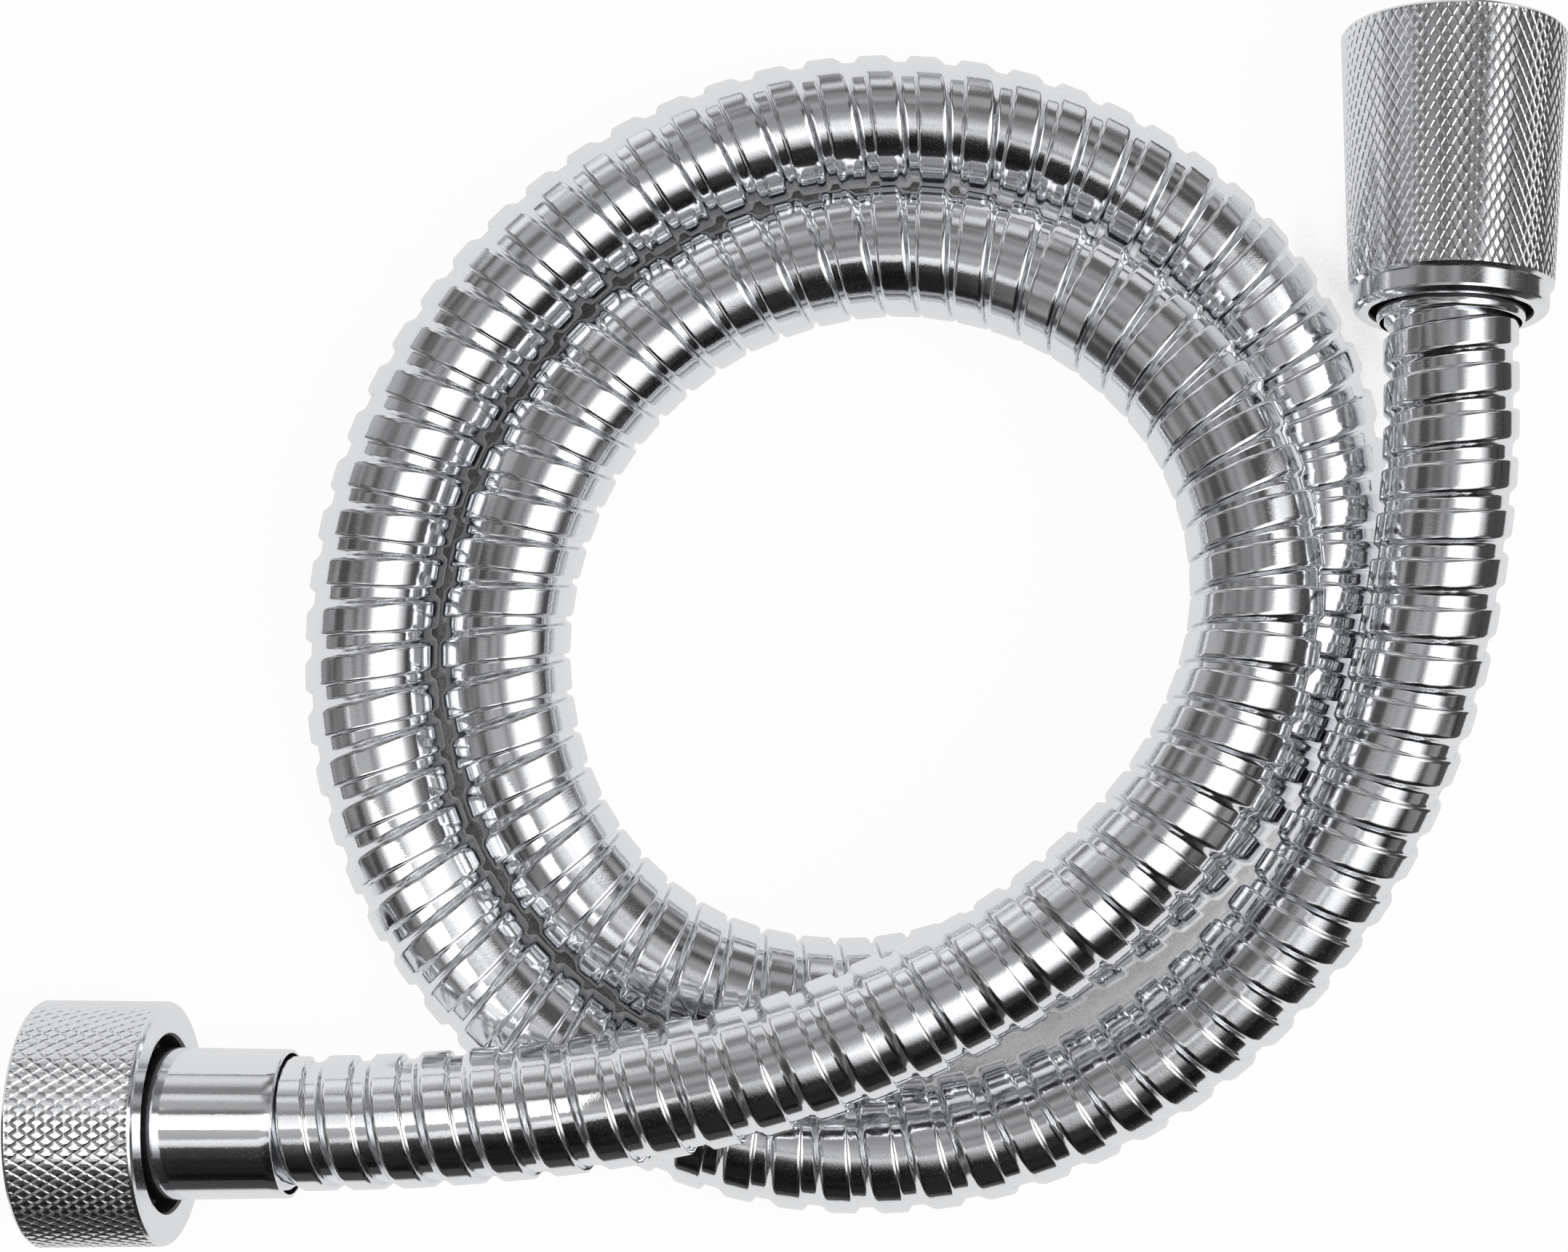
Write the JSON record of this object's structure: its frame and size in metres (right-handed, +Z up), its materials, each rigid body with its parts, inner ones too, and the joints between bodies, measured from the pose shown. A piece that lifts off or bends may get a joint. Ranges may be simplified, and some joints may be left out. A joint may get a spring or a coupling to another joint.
{
  "type": "flexible shower hose",
  "caption": "Chromed spiral-wound metal hose in a loose coil, with a round knurled nut at one end and a tall knurled conical nut at the other, for joining a tap to a hand shower.",
  "frame": {"origin": "on the surface that the hose lies on, under the middle of the box round its two end fittings", "axes": "+X from the round tap nut towards the side of the conical nut, +Y towards the conical nut's mouth, +Z up from the surface"},
  "size_m": [0.1624, 0.1296, 0.0296],
  "materials": {
    "nut_chrome": "bright chrome plate over brass, knurled outside",
    "sleeve_chrome": "polished chrome plate",
    "casing_chrome": "polished chromed strip, wound and interlocked",
    "nipple_brass": "machined brass",
    "liner_plastic": "smooth milky tube",
    "washer_rubber": "flat black rubber"
  },
  "bodies": {
    "hose": {"hose_casing": "casing_chrome", "inner_tube": "liner_plastic", "tap_nipple": "nipple_brass", "tap_sleeve": "sleeve_chrome", "tap_washer": "washer_rubber", "cone_nipple": "nipple_brass", "cone_sleeve": "sleeve_chrome", "cone_washer": "washer_rubber"},
    "tap_nut": {"tap_nut": "nut_chrome"},
    "cone_nut": {"cone_nut": "nut_chrome"}
  },
  "joints": [
    {"name": "tap_nut_turn", "type": "hinge", "parent": "hose", "child": "tap_nut", "pos_m": [-0.0794, -0.0519, 0.01272], "axis": [0.9901, 0.019, 0.1392], "continuous": true},
    {"name": "cone_nut_turn", "type": "hinge", "parent": "hose", "child": "cone_nut", "pos_m": [0.0694, 0.06285, 0.01157], "axis": [-0.043, -0.9853, 0.165], "continuous": true}
  ]
}
